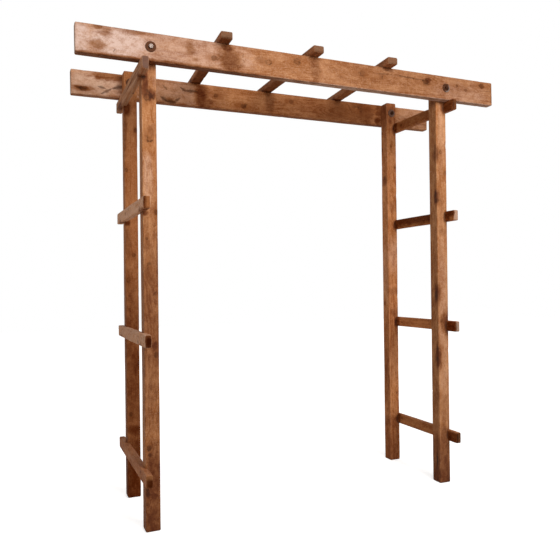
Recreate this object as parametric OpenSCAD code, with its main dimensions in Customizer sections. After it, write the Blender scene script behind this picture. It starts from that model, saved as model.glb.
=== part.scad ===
// Wooden walk-through arch: four square posts, two bolted beams, and rungs across the sides and top.
// Units are millimetres. +X runs along the beams, +Y through the walkway, and +Z up.
// The origin is at ground level, in the middle of the four posts.

/* [Frame] */
// Height of the posts, from the ground to the top of the beams
post_height = 2100; // [1600:10:3000]
// Clear width of the walkway, between the left and the right posts
passage_width = 1452; // [900:1:2400]
// Clear depth of each side, between its front and its back post
passage_depth = 397; // [250:1:1200]
// Side of the square posts
post_side = 63; // [45:1:120]

/* [Beams] */
// Height of a beam on edge
beam_height = 120; // [80:1:240]
// Thickness of a beam
beam_thickness = 44; // [20:1:100]
// How far a beam runs on past the outer face of the posts
beam_overhang = 271; // [60:1:500]
// How much shorter the back beam is at its left end
back_beam_cut = 27; // [0:1:50]

/* [Side rungs] */
// Height of a side rung on edge
side_rung_height = 53; // [30:1:80]
// Thickness of a side rung
side_rung_thickness = 28; // [18:1:50]
// How deep a side rung is let into the outer face of the posts
housing_depth = 13; // [4:0.5:18]
// Gap above and below a side rung in its housing
housing_clearance = 0.2; // [0:0.05:1]
// Height of the lowest side rung's middle above the ground
lowest_rung_height = 243; // [100:1:400]
// How far a left side rung runs on past the front and the back of the posts
left_rung_reach = 98.5; // [20:0.5:200]
// How far a right side rung runs on past the front and the back of the posts
right_rung_reach = 71; // [20:0.5:200]

/* [Top rungs] */
// Width of a top rung, which lies flat on the beams
top_rung_width = 52; // [30:1:90]
// Thickness of a top rung
top_rung_thickness = 33; // [18:1:60]
// Distance from one top rung's middle to the next
top_rung_spacing = 421; // [200:1:600]
// How far a top rung runs on past the outer faces of the beams
top_rung_reach = 54.5; // [10:0.5:200]
// How far the left top rung is turned out of square, in degrees
top_rung_left_turn = -3; // [-5:0.5:5]
// How far the middle top rung is turned out of square, in degrees
top_rung_middle_turn = 0.5; // [-5:0.5:5]
// How far the right top rung is turned out of square, in degrees
top_rung_right_turn = -3; // [-5:0.5:5]

/* [Edges] */
// Width of the small bevel along the long edges of the timber
arris = 2; // [0.5:0.5:5]

/* [Bolts] */
// Diameter of the bolt through each beam and post
bolt_diameter = 12; // [8:1:16]
// Gap round a bolt in the timber
bolt_clearance = 0.5; // [0.1:0.1:1.5]
// Distance across the flats of the bolt heads and nuts
bolt_across_flats = 18; // [17:1:27]
// Height of a bolt head
bolt_head_height = 7.5; // [4:0.5:12]
// Height of a nut
nut_height = 10; // [6:0.5:16]
// How far a bolt stands out past its nut
bolt_end = 6; // [0:1:20]
// Outside diameter of a washer
washer_diameter = 45; // [30:1:55]
// Thickness of a washer
washer_thickness = 4; // [2:0.5:6]
// Gap round a bolt in its washers
washer_clearance = 0.5; // [0.1:0.1:1]
// Gap round a bolt in its nut
nut_clearance = 0.05; // [0.01:0.01:0.2]

/* [Hidden] */
// Middle of the right posts and of the back posts: the left and front ones mirror them
post_x = (passage_width + post_side) / 2;
post_y = (passage_depth + post_side) / 2;
// Outer faces of the posts
outer_x = post_x + post_side / 2;
outer_y = post_y + post_side / 2;
beam_length = 2 * (outer_x + beam_overhang);
beam_y = outer_y + beam_thickness / 2;
beam_bottom = post_height - beam_height;
// Each side has four rungs: the highest is tight under the beams, and they are evenly spaced
side_rung_count = 4;
highest_rung_height = beam_bottom - side_rung_height / 2;
side_rung_pitch = (highest_rung_height - lowest_rung_height) / (side_rung_count - 1);
side_rung_x = outer_x - housing_depth + side_rung_thickness / 2;
top_rung_length = 2 * (outer_y + beam_thickness + top_rung_reach);
// The bolts pass through the middle of the beam and of the post behind it
bolt_z = post_height - beam_height / 2;
bolt_grip = beam_thickness + post_side;
bolt_shank = bolt_grip + 2 * washer_thickness + nut_height + bolt_end;
wood_hole = bolt_diameter + 2 * bolt_clearance;
wood = "#9c6136";
rung_wood = "#7d4b2a";
steel = "#5b4a3f";

// Section of a timber: a rectangle with bevelled corners, centred on the origin
module section(width, height) {
    a = width / 2;
    b = height / 2;
    polygon([
        [a - arris, -b], [a, -b + arris], [a, b - arris], [a - arris, b],
        [-a + arris, b], [-a, b - arris], [-a, -b + arris], [-a + arris, -b]
    ]);
}

// Middle height of the n-th side rung, counted from the top
function rung_height(n) = highest_rung_height - (n - 1) * side_rung_pitch;

// A cylinder along Y, from y = from to y = to, with its axis at the bolts' height
module rod_y(diameter, from, to, sides = 64) {
    translate([0, from, bolt_z])
        rotate([-90, 0, 0])
            cylinder(d = diameter, h = to - from, $fn = sides);
}

// A post: side is -1 on the left and 1 on the right, end is -1 at the front and 1 at the back
module post(side, end) {
    color(wood)
        difference() {
            translate([side * post_x, end * post_y, 0])
                linear_extrude(post_height)
                    section(post_side, post_side);
            for (n = [1 : side_rung_count])
                housing(side, end, rung_height(n));
            translate([side * post_x, 0, 0])
                rod_y(wood_hole, end * post_y - post_side, end * post_y + post_side);
        }
}

// The notch in a post's outer face that takes a side rung
module housing(side, end, height) {
    cut_height = side_rung_height + 2 * housing_clearance;
    inner = outer_x - housing_depth;
    translate([
        side > 0 ? inner : -outer_x - post_side,
        end * post_y - post_side,
        height - cut_height / 2
    ])
        cube([housing_depth + post_side, 2 * post_side, cut_height]);
}

// A beam on edge against the outer faces of the posts
module beam(end) {
    cut = end > 0 ? back_beam_cut : 0;
    color(wood)
        difference() {
            translate([cut - beam_length / 2, end * beam_y, post_height - beam_height / 2])
                rotate([90, 0, 90])
                    linear_extrude(beam_length - cut)
                        section(beam_thickness, beam_height);
            for (side = [-1, 1])
                translate([side * post_x, 0, 0])
                    rod_y(wood_hole, end * beam_y - beam_thickness, end * beam_y + beam_thickness);
        }
}

// A rung across the top, lying on both beams
module top_rung(place, turn) {
    color(rung_wood)
        translate([place * top_rung_spacing, 0, post_height + top_rung_thickness / 2])
            rotate([0, 0, turn])
                translate([0, top_rung_length / 2, 0])
                    rotate([90, 0, 0])
                        linear_extrude(top_rung_length)
                            section(top_rung_width, top_rung_thickness);
}

// A rung across one side, on edge in the housings of its two posts
module side_rung(side, n) {
    length = 2 * (outer_y + (side < 0 ? left_rung_reach : right_rung_reach));
    color(rung_wood)
        translate([side * side_rung_x, length / 2, rung_height(n)])
            rotate([90, 0, 0])
                linear_extrude(length)
                    section(side_rung_thickness, side_rung_height);
}

// Puts a piece drawn at the front right corner at any corner
module corner(side, end) {
    translate([side * post_x, 0, 0])
        mirror([0, end > 0 ? 1 : 0, 0])
            children();
}

// A bolt: its head is outside the beam and its end is inside the post
module bolt(side, end) {
    head = -outer_y - beam_thickness - washer_thickness;
    color(steel)
        corner(side, end)
            union() {
                rod_y(bolt_across_flats / cos(30), head - bolt_head_height, head, 6);
                rod_y(bolt_diameter, head, head + bolt_shank);
            }
}

module nut(side, end) {
    seat = -outer_y + post_side + washer_thickness;
    color(steel)
        corner(side, end)
            difference() {
                rod_y(bolt_across_flats / cos(30), seat, seat + nut_height, 6);
                rod_y(bolt_diameter + 2 * nut_clearance, seat - 1, seat + nut_height + 1);
            }
}

// A washer whose outer face is at y = from, at the front
module washer(side, end, from) {
    color(steel)
        corner(side, end)
            difference() {
                rod_y(washer_diameter, from, from + washer_thickness);
                rod_y(bolt_diameter + 2 * washer_clearance, from - 1, from + washer_thickness + 1);
            }
}

module head_washer(side, end) {
    washer(side, end, -outer_y - beam_thickness - washer_thickness);
}

module nut_washer(side, end) {
    washer(side, end, -outer_y + post_side);
}

module post_front_left() { post(-1, -1); }
module post_front_right() { post(1, -1); }
module post_back_left() { post(-1, 1); }
module post_back_right() { post(1, 1); }
module beam_front() { beam(-1); }
module beam_back() { beam(1); }
module top_rung_left() { top_rung(-1, top_rung_left_turn); }
module top_rung_middle() { top_rung(0, top_rung_middle_turn); }
module top_rung_right() { top_rung(1, top_rung_right_turn); }
module side_rung_left_1() { side_rung(-1, 1); }
module side_rung_left_2() { side_rung(-1, 2); }
module side_rung_left_3() { side_rung(-1, 3); }
module side_rung_left_4() { side_rung(-1, 4); }
module side_rung_right_1() { side_rung(1, 1); }
module side_rung_right_2() { side_rung(1, 2); }
module side_rung_right_3() { side_rung(1, 3); }
module side_rung_right_4() { side_rung(1, 4); }
module bolt_front_left() { bolt(-1, -1); }
module bolt_front_right() { bolt(1, -1); }
module bolt_back_left() { bolt(-1, 1); }
module bolt_back_right() { bolt(1, 1); }
module nut_front_left() { nut(-1, -1); }
module nut_front_right() { nut(1, -1); }
module nut_back_left() { nut(-1, 1); }
module nut_back_right() { nut(1, 1); }
module head_washer_front_left() { head_washer(-1, -1); }
module head_washer_front_right() { head_washer(1, -1); }
module head_washer_back_left() { head_washer(-1, 1); }
module head_washer_back_right() { head_washer(1, 1); }
module nut_washer_front_left() { nut_washer(-1, -1); }
module nut_washer_front_right() { nut_washer(1, -1); }
module nut_washer_back_left() { nut_washer(-1, 1); }
module nut_washer_back_right() { nut_washer(1, 1); }

post_front_left();
post_front_right();
post_back_left();
post_back_right();
beam_front();
beam_back();
top_rung_left();
top_rung_middle();
top_rung_right();
side_rung_left_1();
side_rung_left_2();
side_rung_left_3();
side_rung_left_4();
side_rung_right_1();
side_rung_right_2();
side_rung_right_3();
side_rung_right_4();
bolt_front_left();
bolt_front_right();
bolt_back_left();
bolt_back_right();
nut_front_left();
nut_front_right();
nut_back_left();
nut_back_right();
head_washer_front_left();
head_washer_front_right();
head_washer_back_left();
head_washer_back_right();
nut_washer_front_left();
nut_washer_front_right();
nut_washer_back_left();
nut_washer_back_right();
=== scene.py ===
"""A wooden walk-through garden arch: how its timbers, bolts, nuts and washers look, and a plain stage.

Each timber is a bar with softened, uneven edges, drying cracks, and a wood of its own: growth rings round a
pith, with the grain parting round its knots. Lengths are in metres in meshes, and in millimetres in woods
and materials.
"""

import math
import random
from collections import namedtuple

import bpy
import numpy as np
from bpy.props import FloatProperty, FloatVectorProperty, PointerProperty
from mathutils import Matrix, Vector, noise


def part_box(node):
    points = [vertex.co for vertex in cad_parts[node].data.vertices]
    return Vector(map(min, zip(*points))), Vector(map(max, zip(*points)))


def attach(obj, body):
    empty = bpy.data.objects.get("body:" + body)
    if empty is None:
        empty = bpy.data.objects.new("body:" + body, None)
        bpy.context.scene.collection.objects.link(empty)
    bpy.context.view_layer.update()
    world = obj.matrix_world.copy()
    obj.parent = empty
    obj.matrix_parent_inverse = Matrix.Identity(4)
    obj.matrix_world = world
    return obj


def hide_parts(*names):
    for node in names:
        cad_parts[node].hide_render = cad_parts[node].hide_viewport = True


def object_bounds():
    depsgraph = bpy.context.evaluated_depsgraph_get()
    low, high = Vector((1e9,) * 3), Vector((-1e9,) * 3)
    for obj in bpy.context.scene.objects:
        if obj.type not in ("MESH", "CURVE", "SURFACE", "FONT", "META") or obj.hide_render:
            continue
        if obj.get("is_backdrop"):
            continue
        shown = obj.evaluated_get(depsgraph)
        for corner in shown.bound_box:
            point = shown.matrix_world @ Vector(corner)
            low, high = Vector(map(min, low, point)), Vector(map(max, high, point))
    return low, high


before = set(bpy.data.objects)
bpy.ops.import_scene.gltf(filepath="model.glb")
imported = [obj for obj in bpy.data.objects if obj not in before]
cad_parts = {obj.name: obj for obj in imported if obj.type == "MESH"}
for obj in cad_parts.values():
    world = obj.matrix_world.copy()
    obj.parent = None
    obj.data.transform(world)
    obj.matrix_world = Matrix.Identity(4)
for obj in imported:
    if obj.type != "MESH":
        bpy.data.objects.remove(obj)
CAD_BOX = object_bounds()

bl_info = {
    "name": "Wooden garden arch",
    "version": (1, 0, 0),
    "blender": (4, 5, 0),
    "location": "View3D > Sidebar > Arch",
    "description": "Builds the posts, beams, rungs and bolts of a wooden garden arch round its packed frame",
    "category": "Object",
}

MM = 0.001
TURN = 2 * math.pi


def srgb(code):
    """A colour written as six hexadecimal digits, as the linear values that shaders use."""
    parts = (int(code[i : i + 2], 16) / 255 for i in (0, 2, 4))
    return tuple(c / 12.92 if c <= 0.04045 else ((c + 0.055) / 1.055) ** 2.4 for c in parts)


# ---------------------------------------------------------------- settings


def number(name, description, default, **more):
    """A number that a user may change."""
    return FloatProperty(name=name, description=description, default=default, **more)


def length(name, description, default):
    """A length that a user may change, in metres."""
    return number(name, description, default, min=0.0, unit="LENGTH", subtype="DISTANCE", precision=4)


def angle(name, description, degrees):
    """An angle that a user may change."""
    return number(name, description, math.radians(degrees), subtype="ANGLE")


def colour(name, description, code):
    """A colour that a user may change."""
    return FloatVectorProperty(
        name=name, description=description, default=srgb(code), min=0.0, max=1.0, size=3, subtype="COLOR"
    )


class TimberSettings(bpy.types.PropertyGroup):
    """Sizes and colours of the posts, beams and rungs."""

    edge_radius: length("Edge radius", "Rounding of the long edges", 0.0042)
    end_radius: length("End radius", "Rounding round the sawn ends", 0.0052)
    grid: length("Grid", "Distance between points on a timber's skin", 0.006)
    early_wood: colour("Early wood", "Stained wood between the rings", "c68e61")
    late_wood: colour("Late wood", "Stained wood in the rings", "94592f")
    knot_wood: colour("Knot", "Middle of a knot", "673718")
    knot_rim: colour("Knot rim", "Dark bark round a knot", "3d1f0e")
    end_wood: colour("End grain", "Sawn ends, which take more stain", "71482e")
    pale_wood: colour("Pale wood", "Patches where the stain is thin", "dfbea8")
    grey_wood: colour("Weathered wood", "Rough sawn, weathered surface", "c8a790")
    stain: colour("Dark stain", "What is left of the colour under a run or a damp patch", "8a623a")


class BoltSettings(bpy.types.PropertyGroup):
    """Sizes and colours of the bolts, nuts and washers."""

    thread_pitch: length("Thread pitch", "Distance between turns of the thread", 0.00175)
    chamfer: length("Chamfer", "Bevel round a head or nut", 0.0014)
    steel: colour("Steel", "Bare steel", "8d8078")
    tarnish: colour("Tarnish", "Dark tarnish over the steel", "2a1409")
    rust: colour("Rust", "Brown rust in patches", "573624")


class StageSettings(bpy.types.PropertyGroup):
    """The floor, the lamps and the camera."""

    floor: colour("Floor", "Colour of the floor", "f4f2ef")
    bounce: colour("Floor bounce", "Colour that the floor throws back on the timber", "ccc0b4")
    floor_size: length("Floor size", "Side of the square floor", 24.0)
    lens: number("Lens", "Focal length in millimetres", 39.56, min=1.0)
    eye: FloatVectorProperty(
        name="Eye",
        description="Where the camera is",
        default=(-1.2768, -2.8739, 1.0454),
        size=3,
        subtype="TRANSLATION",
        unit="LENGTH",
    )
    heading: angle("Heading", "Turn of the camera towards the right", 23.08)
    tilt: angle("Tilt", "How far the camera looks up", 0.30)
    roll: angle("Roll", "Lean of the camera to one side", -0.66)
    key_power: number("Key lamp", "Power of the main lamp in watts", 122.0, min=0.0)
    fill_power: number("Fill lamp", "Power of the softer lamp in watts", 18.0, min=0.0)
    side_power: number("Side lamp", "Power of the lamp on the left in watts", 22.0, min=0.0)
    back_power: number("Back lamp", "Power of the lamp behind in watts", 45.0, min=0.0)
    ambient: number("Ambient", "Strength of the light from all round", 0.2, min=0.0)


# ---------------------------------------------------------------- node helpers


def sums_of(operation):
    """A method of Nodes for one kind of sum."""
    return lambda self, *values, clamp=False: self.math(operation, *values, clamp=clamp)


class Nodes:
    """Adds nodes to one tree and joins them up. Each value given to a node is a constant or a socket."""

    def __init__(self, tree):
        self.tree = tree

    def feed(self, socket, value):
        """Joins a socket to this one, or sets its value."""
        if isinstance(value, bpy.types.NodeSocket):
            self.tree.links.new(value, socket)
        elif socket.type == "RGBA" and len(value) == 3:
            socket.default_value = (*value, 1.0)
        else:
            socket.default_value = value

    def add(self, kind, given=None, **settings):
        node = self.tree.nodes.new(kind)
        for key, value in settings.items():
            setattr(node, key, value)
        for key, value in (given or {}).items():
            self.feed(node.inputs[key], value)
        return node

    def math(self, operation, *values, clamp=False):
        """Clamps with nodes of their own, because long materials run out of room with the built-in clamp."""
        node = self.add("ShaderNodeMath", dict(enumerate(values)), operation=operation)
        if clamp:
            return self.most(self.math("MINIMUM", node.outputs[0], 1.0), 0.0)
        return node.outputs[0]

    times, plus, less, over, most = map(sums_of, ("MULTIPLY", "ADD", "SUBTRACT", "DIVIDE", "MAXIMUM"))

    def sum(self, total, *terms, clamp=False):
        """A total with each (value, weight) added to it in turn."""
        for value, weight in terms[:-1]:
            total = self.math("MULTIPLY_ADD", value, weight, total)
        return self.math("MULTIPLY_ADD", *terms[-1], total, clamp=clamp)

    def vector(self, operation, *values, out="Vector"):
        return self.add("ShaderNodeVectorMath", dict(enumerate(values)), operation=operation).outputs[out]

    def scaled(self, vector, scale):
        node = self.add("ShaderNodeVectorMath", {0: vector, "Scale": scale}, operation="SCALE")
        return node.outputs["Vector"]

    def size(self, vector):
        return self.vector("LENGTH", vector, out="Value")

    def dot(self, *vectors):
        return self.vector("DOT_PRODUCT", *vectors, out="Value")

    def parts(self, vector):
        return self.add("ShaderNodeSeparateXYZ", {"Vector": vector}).outputs

    def mix(self, factor, a, b, blend="MIX"):
        given = {0: factor, 6: a, 7: b}
        return self.add("ShaderNodeMix", given, data_type="RGBA", blend_type=blend).outputs[2]

    def coats(self, made, *coats):
        """A colour with each (share, colour) laid over it in turn."""
        for share, coat in coats:
            made = self.mix(share, made, coat)
        return made

    def smooth(self, value, low, high, to_low=0.0, to_high=1.0):
        """Goes smoothly from to_low to to_high as value goes from low to high."""
        given = {"Value": value, "From Min": low, "From Max": high, "To Min": to_low, "To Max": to_high}
        return self.add("ShaderNodeMapRange", given, interpolation_type="SMOOTHSTEP", clamp=False).outputs[0]

    def noise(self, position, scale, detail=2.0, roughness=0.5, stretch=None, out=0):
        """Noise whose lumps are about 1 / scale across, after stretching the position."""
        if stretch is not None:
            position = self.vector("MULTIPLY", position, stretch)
        given = {"Vector": position, "Scale": scale, "Detail": detail, "Roughness": roughness}
        return self.add("ShaderNodeTexNoise", given).outputs[out]

    def moved(self, position, step, seed):
        """The position moved by seed steps, so that no two seeds share their noise."""
        return self.vector("ADD", position, self.scaled(step, seed))


NUMBER, VECTOR, COLOUR = "NodeSocketFloat", "NodeSocketVector", "NodeSocketColor"


def titled(name):
    """A socket's label: half_size is Half size."""
    return name.replace("_", " ").capitalize()


def shader_group(**outputs):
    """Turns a function that joins up a group's nodes into one that adds such a group to a tree. Its
    arguments are the group's inputs. The group is made once, and its outputs come back by name."""

    def wrap(build):
        name, inputs = build.__name__, build.__annotations__

        def use(n, **given):
            tree = bpy.data.node_groups.get(name)
            if tree is None:
                tree = bpy.data.node_groups.new(name, "ShaderNodeTree")
                for kinds, way in ((inputs, "INPUT"), (outputs, "OUTPUT")):
                    for key, kind in kinds.items():
                        tree.interface.new_socket(name=titled(key), in_out=way, socket_type=kind)
                inner = Nodes(tree)
                start = tree.nodes.new("NodeGroupInput").outputs
                made = build(inner, *(start[titled(key)] for key in inputs))
                inner.add("NodeGroupOutput", {titled(key): socket for key, socket in zip(outputs, made)})
            given = {titled(key): value for key, value in given.items()}
            node = n.add("ShaderNodeGroup", given, node_tree=tree)
            return {key: node.outputs[titled(key)] for key in outputs}

        return use

    return wrap


SHEEN = 0.03


def new_material(name):
    """A material, its nodes, and the object's own position in millimetres."""
    material = bpy.data.materials.new(name)
    material.use_nodes = True
    n = Nodes(material.node_tree)
    return material, n, n.scaled(n.add("ShaderNodeTexCoord").outputs["Object"], 1 / MM)


def join_shader(material, n, color, roughness, height, **more):
    """Joins a group's outputs to the material's shader, its height in millimetres through a bump."""
    shader = material.node_tree.nodes["Principled BSDF"]
    bump = n.add("ShaderNodeBump", {"Height": height, "Distance": MM, "Strength": 1.0})
    given = {"Base Color": color, "Roughness": roughness, "Normal": bump.outputs[0]}
    given["Specular IOR Level"] = SHEEN
    for key, value in {**given, **{titled(key): value for key, value in more.items()}}.items():
        n.feed(shader.inputs[key], value)
    return material


# ---------------------------------------------------------------- wood


@shader_group(fine=NUMBER, streak=NUMBER, patch=NUMBER, mottle=NUMBER, speck=NUMBER, ruffle=NUMBER)
def wood_fibre(n, position: VECTOR, seed: NUMBER):
    """Streaks along the grain in three sizes, the mottle and specks that stain leaves, and a ruffle for
    uneven outlines."""
    at = n.moved(position, (37.0, 91.0, 53.0), seed)
    fine = n.noise(at, 1.0, 3.0, 0.6, stretch=(1.1, 1.1, 0.03))
    streak = n.noise(at, 1.0, 4.0, 0.62, stretch=(0.13, 0.13, 0.011))
    patch = n.noise(at, 1.0, 2.0, 0.55, stretch=(0.016, 0.016, 0.0062))
    mottle = n.noise(at, 1.0, 4.0, 0.72, stretch=(0.045, 0.045, 0.03))
    speck = n.noise(at, 0.17, 3.0, 0.75)
    ruffle = n.noise(at, 0.1, 3.0, 0.6)
    return (
        n.smooth(fine, 0.3, 0.7),
        n.smooth(streak, 0.3, 0.7),
        n.smooth(patch, 0.33, 0.67),
        n.smooth(mottle, 0.32, 0.68),
        n.smooth(speck, 0.34, 0.66),
        n.less(ruffle, 0.5),
    )


@shader_group(ring=NUMBER, band=NUMBER)
def growth_rings(
    n, position: VECTOR, pith: VECTOR, lean: VECTOR, ring_width: NUMBER, wave: NUMBER, swell: NUMBER,
    seed: NUMBER,
):
    """Rings round a leaning pith, pushed outwards where a knot swells them. Ring is the dark late wood, and
    band differs from year to year."""
    at = n.moved(position, (71.0, 23.0, 47.0), seed)
    wobble = n.noise(at, 1.0, 2.0, 0.5, stretch=(0.009, 0.009, 0.0032), out=1)
    wobble = n.scaled(n.vector("SUBTRACT", wobble, (0.5, 0.5, 0.5)), wave)
    centre = n.vector("ADD", pith, n.scaled(lean, n.parts(position)["Z"]))
    spoke = n.vector("ADD", n.vector("SUBTRACT", position, centre), wobble)
    spoke = n.vector("MULTIPLY", spoke, (1.0, 1.0, 0.0))
    years = n.over(n.less(n.size(spoke), swell), ring_width)
    given = {"W": years, "Scale": 0.37, "Detail": 1.0}
    uneven = n.add("ShaderNodeTexNoise", given, noise_dimensions="1D").outputs[0]
    years = n.plus(years, n.times(uneven, 2.4))
    part = n.math("FRACT", years)
    late = n.times(n.math("POWER", part, 2.4), n.smooth(part, 1.0, 0.88))
    given = {"W": n.math("FLOOR", years)}
    band = n.add("ShaderNodeTexWhiteNoise", given, noise_dimensions="1D").outputs["Value"]
    return n.times(late, 1.25, clamp=True), band


@shader_group(core=NUMBER, rim=NUMBER, halo=NUMBER, swell=NUMBER)
def knot(
    n, position: VECTOR, centre: VECTOR, facing: VECTOR, radius: NUMBER, stretch: NUMBER, depth: NUMBER,
    opening: VECTOR, dark: NUMBER, ruffle: NUMBER, core: NUMBER, rim: NUMBER, halo: NUMBER, swell: NUMBER,
):
    """A branch that runs straight in from one face. The last four inputs take the knots before it, so that
    knots follow one another in a chain. Opening points to the only side where the rim shows, and dark is
    how dark the middle is."""
    off = n.vector("SUBTRACT", position, centre)
    height = n.dot(off, facing)
    flat = n.vector("SUBTRACT", off, n.scaled(facing, height))
    live = n.smooth(height, n.times(depth, -1.0), n.times(depth, -0.8))
    squeeze = n.add("ShaderNodeCombineXYZ", {"X": 1.0, "Y": 1.0, "Z": n.over(1.0, stretch)}).outputs[0]
    shaped = n.vector("MULTIPLY", flat, squeeze)
    reach = n.sum(n.over(n.size(shaped), radius), (ruffle, 2.4))
    own_core = n.times(n.times(n.smooth(reach, 1.3, 0.3), live), dark)
    side = n.dot(n.vector("NORMALIZE", flat), opening)
    shown = n.plus(n.less(1.0, n.size(opening)), n.times(side, 1.5), clamp=True)
    own_rim = n.smooth(n.math("ABSOLUTE", n.less(reach, 0.92)), 0.36, 0.0)
    own_rim = n.times(own_rim, n.smooth(ruffle, -0.14, 0.1, 0.3, 1.0))
    own_rim = n.times(n.times(own_rim, live), shown)
    wide = n.over(n.size(n.vector("MULTIPLY", shaped, (1.0, 1.0, 0.42))), radius)
    own_halo = n.times(n.smooth(wide, 2.5, 0.6), live)
    push = n.times(n.times(n.smooth(wide, 3.4, 0.0), live), n.times(radius, 1.3))
    return n.most(core, own_core), n.most(rim, own_rim), n.most(halo, own_halo), n.plus(swell, push)


@shader_group(lines=NUMBER)
def shake_line(
    n, position: VECTOR, start: VECTOR, end: VECTOR, width: NUMBER, strength: NUMBER, ruffle: NUMBER,
    lines: NUMBER,
):
    """A dark line of split grain or running resin, from start to end, joined to the lines before it."""
    run = n.vector("SUBTRACT", end, start)
    off = n.vector("SUBTRACT", position, start)
    share = n.over(n.dot(off, run), n.dot(run, run), clamp=True)
    gap = n.plus(n.size(n.vector("SUBTRACT", off, n.scaled(run, share))), n.times(ruffle, 9.0))
    taper = n.less(1.15, n.math("ABSOLUTE", n.sum(-1.0, (share, 2.0))))
    line = n.smooth(gap, n.times(width, taper), 0.0)
    return (n.most(lines, n.times(line, strength)),)


@shader_group(patches=NUMBER)
def soft_patch(
    n, position: VECTOR, centre: VECTOR, reach: VECTOR, strength: NUMBER, ragged: NUMBER, seed: NUMBER,
    patches: NUMBER,
):
    """A patch with a soft, ragged edge, of dark or of thin stain, joined to the patches before it."""
    off = n.vector("DIVIDE", n.vector("SUBTRACT", position, centre), reach)
    rough = n.noise(n.moved(position, (19.0, 41.0, 67.0), seed), 1.0, 3.0, 0.6, stretch=(0.05, 0.05, 0.022))
    edge = n.sum(n.size(off), (n.less(rough, 0.5), ragged))
    return (n.most(patches, n.times(n.smooth(edge, 1.25, 0.35), strength)),)


@shader_group(worn=NUMBER, end=NUMBER)
def edge_wear(n, position: VECTOR, half_size: VECTOR, width: NUMBER, seed: NUMBER):
    """Worn is 1 along the edges of a bar, unevenly, and end is 1 on its two ends."""
    d = n.parts(n.vector("SUBTRACT", half_size, n.vector("ABSOLUTE", position)))
    near = [n.most(d[a], d[b]) for a, b in ("XY", "XZ", "YZ")]
    near = n.math("MINIMUM", near[0], n.math("MINIMUM", near[1], near[2]))
    uneven = n.noise(n.moved(position, (29.0, 83.0, 61.0), seed), 0.03, 4.0, 0.65)
    width = n.times(width, n.smooth(uneven, 0.38, 0.72, 0.15, 2.0))
    return n.smooth(near, width, 0.0), n.smooth(d["Z"], 3.2, 1.0)


@shader_group(marks=NUMBER)
def saw_marks(n, position: VECTOR, slant: NUMBER, spacing: NUMBER, seed: NUMBER):
    """Slanting marks that a coarse saw leaves across a face."""
    p = n.parts(position)
    across = n.plus(p["X"], p["Y"])
    step = n.over(n.sum(p["Z"], (across, slant)), spacing)
    place = n.add("ShaderNodeCombineXYZ", {"X": step, "Y": n.times(across, 0.05), "Z": seed}).outputs[0]
    return (n.smooth(n.noise(place, 1.0, 3.0, 0.7), 0.35, 0.65),)


@shader_group(color=COLOUR, roughness=NUMBER, height=NUMBER)
def stained_timber(
    n, early_wood: COLOUR, late_wood: COLOUR, knot_wood: COLOUR, knot_rim: COLOUR, end_wood: COLOUR,
    pale_wood: COLOUR, grey_wood: COLOUR, stain: COLOUR, tone: COLOUR, ring: NUMBER, band: NUMBER,
    figure: NUMBER, fine: NUMBER, streak: NUMBER, patch: NUMBER, mottle: NUMBER, speck: NUMBER, core: NUMBER,
    rim: NUMBER, halo: NUMBER, lines: NUMBER, stained: NUMBER, dust: NUMBER, pale: NUMBER, grey: NUMBER,
    marks: NUMBER, worn: NUMBER, end: NUMBER,
):
    """Puts the effects together: the colour of stained wood, its roughness, and its height in millimetres."""
    dark = n.sum(
        n.times(ring, n.times(figure, n.sum(0.45, (patch, 0.9)))),
        (n.less(band, 0.5), n.times(figure, 0.3)),
        (n.less(streak, 0.5), 0.22),
        (n.less(fine, 0.5), 0.22),
        (mottle, 0.42),
        (n.less(speck, 0.35), 0.34),
        (patch, 0.3),
        clamp=True,
    )
    clear = n.sum(1.0, (stained, -2.0), clamp=True)
    pale = n.times(n.times(pale, clear), n.sum(1.3, (speck, -0.35), (mottle, -0.6)), clamp=True)
    grey_share = n.times(n.times(grey, n.sum(0.2, (marks, 0.8))), n.sum(1.15, (speck, -0.6)), clamp=True)
    made = n.coats(
        n.mix(dark, early_wood, late_wood),
        (n.smooth(speck, 0.3, 0.0, 0.0, 0.2), grey_wood),
        (pale, pale_wood),
        (n.times(halo, 0.55), late_wood),
        (grey_share, grey_wood),
        (n.times(core, 0.85), knot_wood),
        (n.times(rim, 0.7), knot_rim),
        (end, n.coats(end_wood, (n.times(ring, 0.4), knot_rim), (n.times(mottle, 0.25), late_wood))),
        (n.times(lines, 0.8), knot_rim),
    )
    stained = n.times(stained, n.sum(0.86, (mottle, 0.2)), clamp=True)
    dirty = n.mix(dust, n.mix(1.0, made, stain, "MULTIPLY"), grey_wood)
    worn = n.times(worn, n.sum(0.26, (stained, -0.24)))
    made = n.mix(1.0, n.coats(made, (stained, dirty), (worn, pale_wood)), tone, "MULTIPLY")
    rough = n.sum(0.6, (fine, 0.12), (ring, -0.08), (end, 0.15), (core, -0.1), (grey, 0.12), clamp=True)
    high = n.sum(n.times(ring, 0.16), (fine, 0.1), (streak, 0.22), (n.times(marks, grey), 0.55))
    return made, rough, n.sum(high, (core, 0.3), (rim, -0.7), (lines, -0.6))


Knot = namedtuple("Knot", "face across along radius stretch dark opening", defaults=(1.0, (0, 0, 0)))
Line = namedtuple("Line", "face start end width strength")
Patch = namedtuple("Patch", "centre reach strength ragged", defaults=(1.6,))
Check = namedtuple("Check", "face across start end width depth")
Wood = namedtuple(
    "Wood",
    "seed pith lean checks tone ring_width wave figure knots lines stains pale grey saw end dust",
    defaults=((1, 1, 1), 4.5, 16.0, 0.5, (), (), (), (), 0.0, (1.3, 11.0), None, 0.0),
)

FACES = {"+x": (1, 0), "+y": (0, 1), "-x": (-1, 0), "-y": (0, -1)}


def on_face(face, across, along, half):
    """A point on one of a bar's four long faces, from its middle. Across counts along its own X or Y."""
    fx, fy = FACES[face]
    return (fx * half[0], across, along) if fx else (across, fy * half[1], along)


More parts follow.
